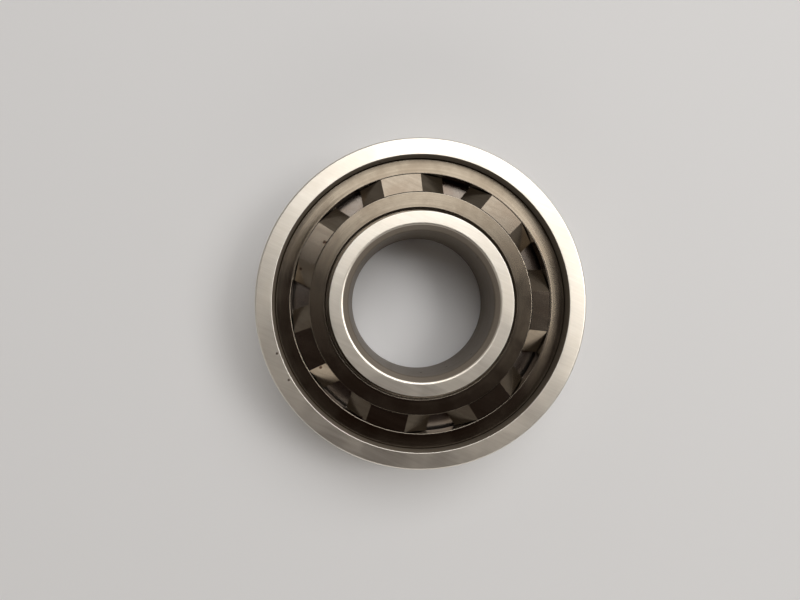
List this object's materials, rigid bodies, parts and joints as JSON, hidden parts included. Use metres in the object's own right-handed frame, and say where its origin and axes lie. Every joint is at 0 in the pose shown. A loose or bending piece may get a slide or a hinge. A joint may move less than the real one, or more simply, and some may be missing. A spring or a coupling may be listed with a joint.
{
  "type": "cylindrical roller bearing",
  "caption": "Single-row cylindrical roller bearing with pressed rib rings at both ends of each race and trapezoidal separators between short rollers.",
  "frame": {"origin": "centre of the lower side face, on the bearing's axis", "axes": "+Z along the bearing's axis, from one side face to the other; +X through the axis of roller_1"},
  "size_m": [0.0572, 0.0572, 0.0159],
  "materials": {
    "ring_steel": "fine ground",
    "rib_steel": "turned, oiled",
    "roller_steel": "lapped",
    "separator_bronze": "milled, oiled"
  },
  "bodies": {
    "outer_ring": {"outer_ring": "ring_steel", "outer_rib_ring_upper": "rib_steel", "outer_rib_ring_lower": "rib_steel"},
    "inner_ring": {"inner_ring": "ring_steel", "inner_rib_ring_upper": "rib_steel", "inner_rib_ring_lower": "rib_steel"},
    "separator_set": {"separator_1": "separator_bronze", "separator_2": "separator_bronze", "separator_3": "separator_bronze", "separator_4": "separator_bronze", "separator_5": "separator_bronze", "separator_6": "separator_bronze", "separator_7": "separator_bronze"},
    "roller_1": {"roller_1": "roller_steel"},
    "roller_2": {"roller_2": "roller_steel"},
    "roller_3": {"roller_3": "roller_steel"},
    "roller_4": {"roller_4": "roller_steel"},
    "roller_5": {"roller_5": "roller_steel"},
    "roller_6": {"roller_6": "roller_steel"},
    "roller_7": {"roller_7": "roller_steel"}
  },
  "joints": [
    {"name": "inner_ring_spin", "type": "hinge", "parent": "outer_ring", "child": "inner_ring", "pos_m": [0, 0, 0.00794], "axis": [0, 0, 1], "continuous": true},
    {"name": "separator_set_orbit", "type": "hinge", "parent": "outer_ring", "child": "separator_set", "pos_m": [0, 0, 0.00794], "axis": [0, 0, 1], "continuous": true},
    {"name": "roller_1_spin", "type": "hinge", "parent": "separator_set", "child": "roller_1", "pos_m": [0.0208, 0, 0.00794], "axis": [0, 0, 1], "continuous": true},
    {"name": "roller_2_spin", "type": "hinge", "parent": "separator_set", "child": "roller_2", "pos_m": [0.01297, 0.01626, 0.00794], "axis": [0, 0, 1], "continuous": true},
    {"name": "roller_3_spin", "type": "hinge", "parent": "separator_set", "child": "roller_3", "pos_m": [-0.00463, 0.02027, 0.00794], "axis": [0, 0, 1], "continuous": true},
    {"name": "roller_4_spin", "type": "hinge", "parent": "separator_set", "child": "roller_4", "pos_m": [-0.01874, 0.00902, 0.00794], "axis": [0, 0, 1], "continuous": true},
    {"name": "roller_5_spin", "type": "hinge", "parent": "separator_set", "child": "roller_5", "pos_m": [-0.01874, -0.00902, 0.00794], "axis": [0, 0, 1], "continuous": true},
    {"name": "roller_6_spin", "type": "hinge", "parent": "separator_set", "child": "roller_6", "pos_m": [-0.00463, -0.02027, 0.00794], "axis": [0, 0, 1], "continuous": true},
    {"name": "roller_7_spin", "type": "hinge", "parent": "separator_set", "child": "roller_7", "pos_m": [0.01297, -0.01626, 0.00794], "axis": [0, 0, 1], "continuous": true}
  ],
  "couplings": [
    {"joint": "separator_set_orbit", "follows": "inner_ring_spin", "ratio": 0.38423},
    {"joint": "roller_1_spin", "follows": "inner_ring_spin", "ratio": -2.05},
    {"joint": "roller_2_spin", "follows": "inner_ring_spin", "ratio": -2.05},
    {"joint": "roller_3_spin", "follows": "inner_ring_spin", "ratio": -2.05},
    {"joint": "roller_4_spin", "follows": "inner_ring_spin", "ratio": -2.05},
    {"joint": "roller_5_spin", "follows": "inner_ring_spin", "ratio": -2.05},
    {"joint": "roller_6_spin", "follows": "inner_ring_spin", "ratio": -2.05},
    {"joint": "roller_7_spin", "follows": "inner_ring_spin", "ratio": -2.05}
  ]
}
